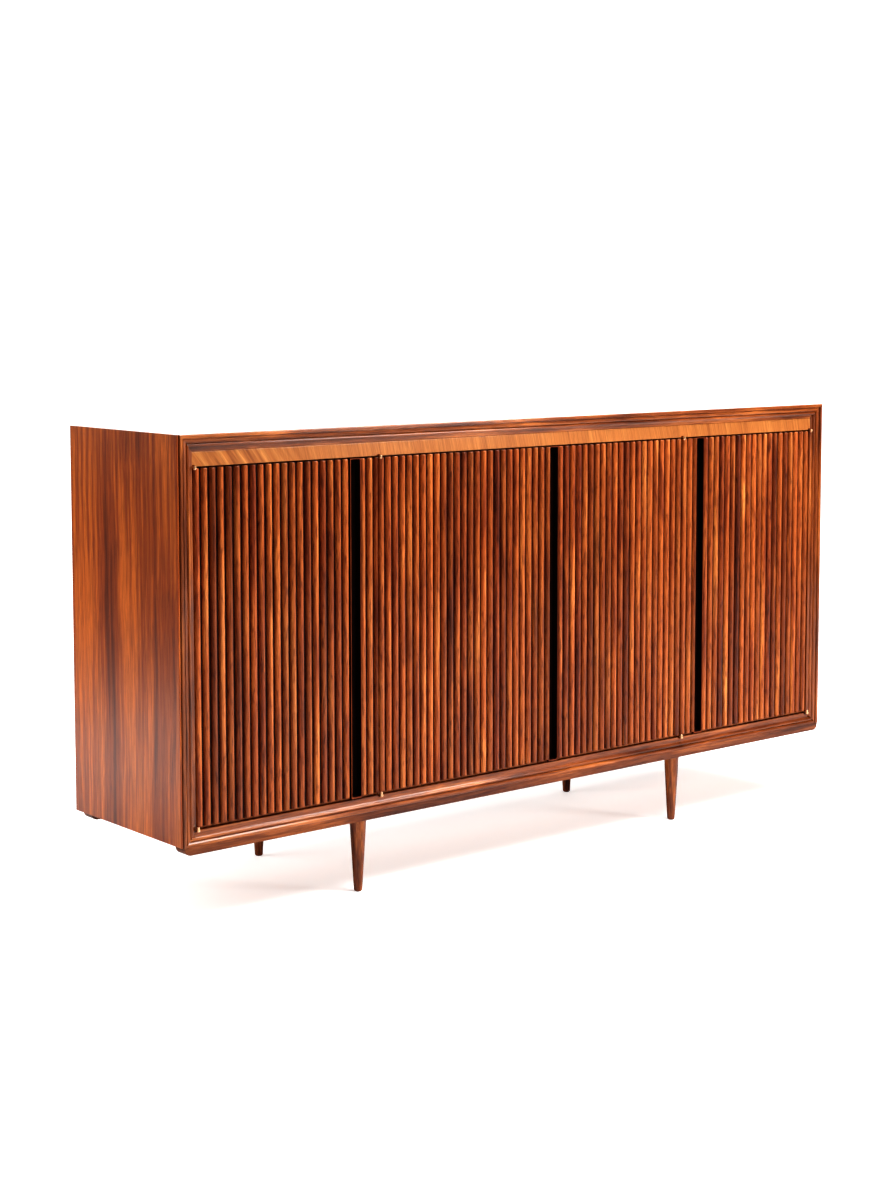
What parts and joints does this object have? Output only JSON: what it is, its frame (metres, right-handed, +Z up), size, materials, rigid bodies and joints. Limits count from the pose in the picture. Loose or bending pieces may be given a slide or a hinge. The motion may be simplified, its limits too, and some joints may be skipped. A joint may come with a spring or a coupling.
{
  "type": "sideboard",
  "caption": "Long sideboard with reeded hinged doors in a mitred moulding frame, finger channels, shelves inside, on tapered turned legs.",
  "frame": {"origin": "on the ground under the middle of the case", "axes": "+X along the length, +Y from the doors to the back, +Z up"},
  "size_m": [2, 0.435, 1.032],
  "materials": {
    "case_veneer": "satin figured veneer, fine vertical grain",
    "frame_moulding": "satin lacquer on moulded solid wood, worn bright on the beads",
    "frieze_wood": "satin lacquer on lighter figured wood",
    "base_wood": "satin lacquer on turned and sawn solid wood",
    "door_panel": "dark stained panel",
    "door_reed": "satin lacquer on half-round strips of mixed colour",
    "pull_wood": "dark stained routed wood",
    "pivot_brass": "polished brass",
    "plated_steel": "zinc plated",
    "back_board": "plain unfinished board",
    "interior_wood": "plain interior veneer"
  },
  "bodies": {
    "case": {"back_panel": "back_board", "back_screws": "plated_steel", "base_rail_back": "base_wood", "base_rail_front": "base_wood", "bottom_panel": "interior_wood", "door_catches": "plated_steel", "fixed_pivots": "pivot_brass", "frame_bottom": "frame_moulding", "frame_left": "frame_moulding", "frame_right": "frame_moulding", "frame_top": "frame_moulding", "frieze_board": "frieze_wood", "leg_back_left": "base_wood", "leg_back_right": "base_wood", "leg_front_left": "base_wood", "leg_front_right": "base_wood", "leg_studs": "plated_steel", "partition_left": "interior_wood", "partition_right": "interior_wood", "shelf_centre": "interior_wood", "shelf_left": "interior_wood", "shelf_pegs": "plated_steel", "shelf_right": "interior_wood", "side_panel_left": "case_veneer", "side_panel_right": "case_veneer", "top_panel": "case_veneer", "top_rail": "interior_wood"},
    "door_1": {"door_1_core": "door_panel", "door_1_pivots": "pivot_brass", "door_1_pull": "pull_wood", "door_1_reeds": "door_reed", "door_1_strike": "plated_steel"},
    "door_2": {"door_2_core": "door_panel", "door_2_pivots": "pivot_brass", "door_2_reeds": "door_reed", "door_2_strike": "plated_steel"},
    "door_3": {"door_3_core": "door_panel", "door_3_pivots": "pivot_brass", "door_3_pull": "pull_wood", "door_3_reeds": "door_reed", "door_3_strike": "plated_steel"},
    "door_4": {"door_4_core": "door_panel", "door_4_pivots": "pivot_brass", "door_4_pull": "pull_wood", "door_4_reeds": "door_reed", "door_4_strike": "plated_steel"}
  },
  "joints": [
    {"name": "door_1_swing", "type": "hinge", "parent": "case", "child": "door_1", "pos_m": [-0.9575, -0.2133, 0.58], "axis": [0, 0, -1], "range_deg": [0, 90]},
    {"name": "door_2_swing", "type": "hinge", "parent": "case", "child": "door_2", "pos_m": [-0.4775, -0.2133, 0.58], "axis": [0, 0, -1], "range_deg": [0, 90]},
    {"name": "door_3_swing", "type": "hinge", "parent": "case", "child": "door_3", "pos_m": [0.4775, -0.2133, 0.58], "axis": [0, 0, 1], "range_deg": [0, 90]},
    {"name": "door_4_swing", "type": "hinge", "parent": "case", "child": "door_4", "pos_m": [0.9575, -0.2133, 0.58], "axis": [0, 0, 1], "range_deg": [0, 90]}
  ]
}
